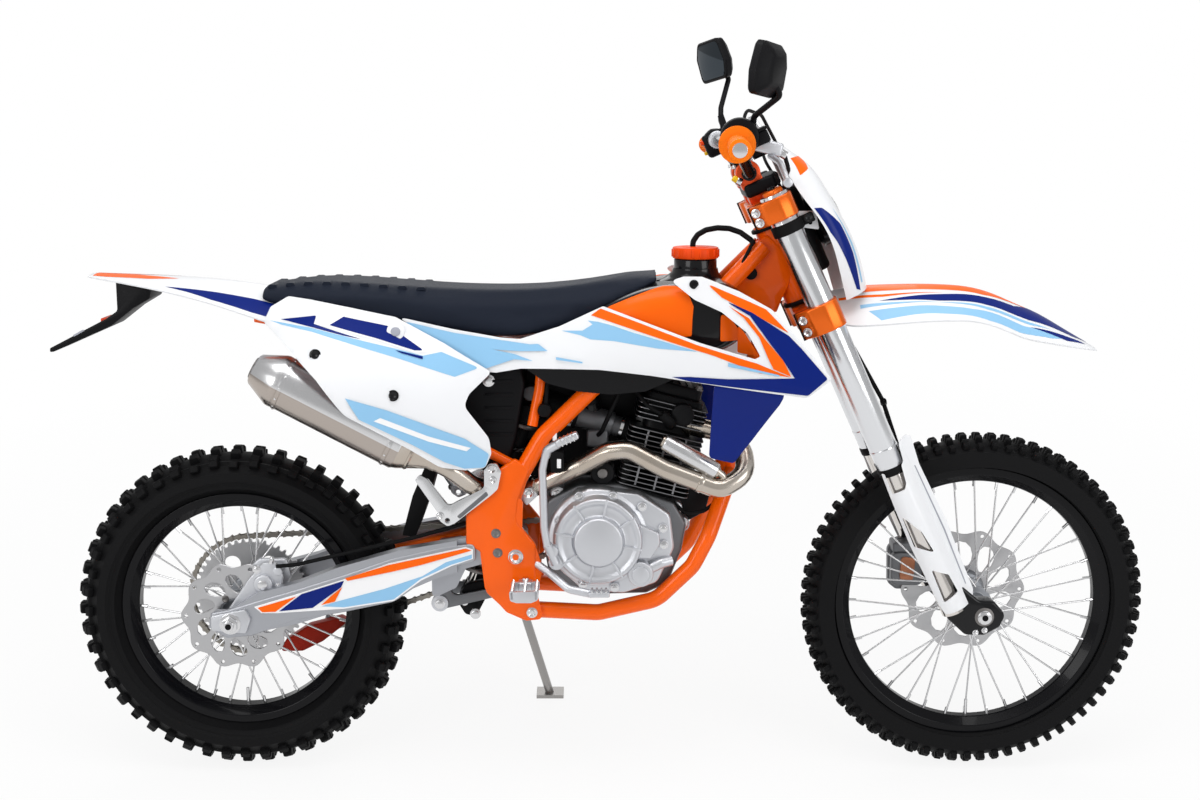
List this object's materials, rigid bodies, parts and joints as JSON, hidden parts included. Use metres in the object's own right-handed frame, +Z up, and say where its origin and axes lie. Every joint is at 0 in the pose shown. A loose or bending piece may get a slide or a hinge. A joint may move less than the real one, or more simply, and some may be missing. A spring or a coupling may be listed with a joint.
{
  "type": "enduro dirt bike",
  "caption": "Off-road motorcycle parked on its side stand, with knobby spoked wheels, long-travel fork, air-cooled engine, high mudguards and a slim flat seat.",
  "frame": {"origin": "on the ground, at the middle of the bounding box of the parked bike", "axes": "+X forwards, +Y to the rider's left, +Z up; the bike leans 8 degrees to +Y on its side stand"},
  "size_m": [2.1714, 0.8171, 1.478],
  "materials": {
    "tyre": "matte moulded rubber",
    "black_rim": "gloss black anodised",
    "hub_grey": "satin cast alloy",
    "bright_steel": "polished steel",
    "disc_steel": "ground steel",
    "swingarm_alloy": "satin alloy",
    "chain_steel": "oiled steel",
    "frame_orange": "gloss orange powder coat",
    "shock_black": "satin black",
    "engine_silver": "satin silver paint on castings",
    "engine_black": "satin black with bright fin edges",
    "exhaust_steel": "brushed stainless, heat tinted",
    "tank_black": "satin black polymer",
    "cap_orange": "gloss orange-red",
    "seat_cover": "grained black gripper cover",
    "white_plastic": "gloss white with navy, light blue and orange stripes",
    "navy_plastic": "gloss navy",
    "black_plastic": "satin black",
    "calliper_silver": "satin silver",
    "anodised_orange": "anodised orange",
    "fork_alloy": "polished alloy",
    "fork_lug_black": "satin black castings",
    "bar_black": "satin black",
    "grip_orange": "orange rubber",
    "lamp_glass": "clear lamp lens",
    "stand_steel": "grey steel"
  },
  "bodies": {
    "chassis": {"rear_axle": "bright_steel", "swingarm": "swingarm_alloy", "chain": "chain_steel", "frame_spars": "frame_orange", "frame_cradle": "frame_orange", "frame_pivot_plates": "frame_orange", "subframe": "frame_orange", "rear_shock": "shock_black", "linkage": "swingarm_alloy", "crankcase": "engine_silver", "cylinder": "engine_black", "engine_covers": "engine_silver", "carburettor": "engine_black", "exhaust_header": "exhaust_steel", "silencer": "exhaust_steel", "fuel_tank": "tank_black", "tank_cap": "cap_orange", "seat": "seat_cover", "shrouds": "white_plastic", "lower_scoops": "navy_plastic", "side_panels": "white_plastic", "rear_fender": "white_plastic", "plate_holder": "black_plastic", "airbox": "black_plastic", "rear_calliper": "calliper_silver", "footpegs": "bright_steel", "foot_controls": "bright_steel", "rear_peg_brackets": "calliper_silver"},
    "steering": {"triple_clamps": "anodised_orange", "fork_uppers": "fork_alloy", "fork_lowers": "fork_lug_black", "front_axle": "bright_steel", "fork_guards": "white_plastic", "handlebar": "bar_black", "grips": "grip_orange", "control_levers": "calliper_silver", "mirrors": "black_plastic", "front_fender": "white_plastic", "headlight_mask": "white_plastic", "headlamp": "lamp_glass", "front_calliper": "calliper_silver"},
    "front_wheel": {"front_tyre": "tyre", "front_rim": "black_rim", "front_hub": "hub_grey", "front_spokes": "bright_steel", "front_disc": "disc_steel"},
    "rear_wheel": {"rear_tyre": "tyre", "rear_rim": "black_rim", "rear_hub": "hub_grey", "rear_spokes": "bright_steel", "rear_disc": "disc_steel", "rear_sprocket": "disc_steel"},
    "side_stand": {"side_stand": "stand_steel"}
  },
  "joints": [
    {"name": "steering_turn", "type": "hinge", "parent": "chassis", "child": "steering", "pos_m": [0.30331, -0.01684, 1.1206], "axis": [-0.4147, 0.1266, 0.9011], "range_deg": [-42, 42]},
    {"name": "front_wheel_spin", "type": "hinge", "parent": "steering", "child": "front_wheel", "pos_m": [0.74069, -0.12623, 0.34225], "axis": [0, 0.9903, -0.1392], "continuous": true},
    {"name": "rear_wheel_spin", "type": "hinge", "parent": "chassis", "child": "rear_wheel", "pos_m": [-0.73469, -0.12804, 0.32937], "axis": [0, 0.9903, -0.1392], "continuous": true},
    {"name": "stand_fold", "type": "hinge", "parent": "chassis", "child": "side_stand", "pos_m": [-0.18669, -0.00268, 0.30166], "axis": [0.1561, 0.9207, 0.3578], "range_deg": [0, 98]}
  ]
}
